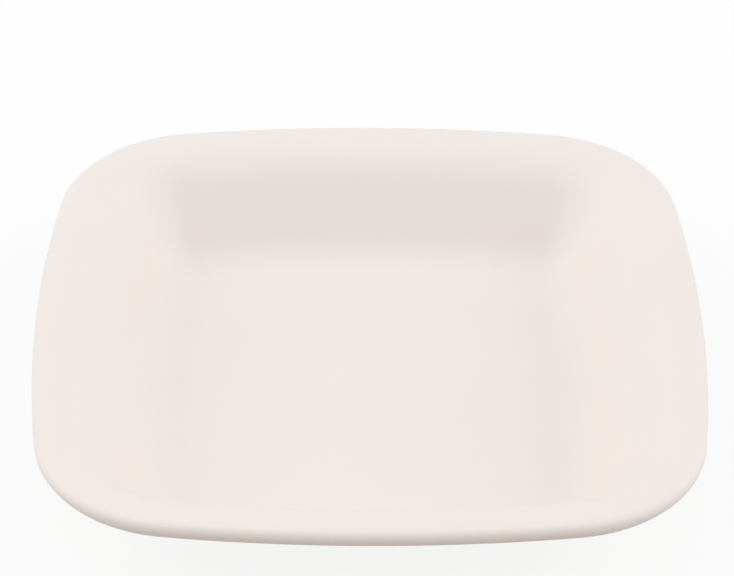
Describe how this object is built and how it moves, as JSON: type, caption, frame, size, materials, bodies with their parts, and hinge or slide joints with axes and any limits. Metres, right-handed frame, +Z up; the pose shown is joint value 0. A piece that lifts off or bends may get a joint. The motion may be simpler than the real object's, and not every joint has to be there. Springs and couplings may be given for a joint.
{
  "type": "deep plate",
  "caption": "Deep square serving plate in ivory-glazed stoneware, with bowed sides, round corners, a rolled lip, sloping walls, a flat floor and a bare foot ring to stand on.",
  "frame": {"origin": "centre of the plate on the plane that its foot ring stands on", "axes": "+Z up through the well, +X and +Y towards the middles of two neighbouring sides"},
  "size_m": [0.21, 0.21, 0.0367],
  "materials": {
    "fired_clay": "matt, fine grained",
    "ivory_glaze": "satin"
  },
  "bodies": {
    "root": {"clay_body": "fired_clay", "glaze_coat": "ivory_glaze", "base_glaze": "ivory_glaze"}
  },
  "joints": []
}
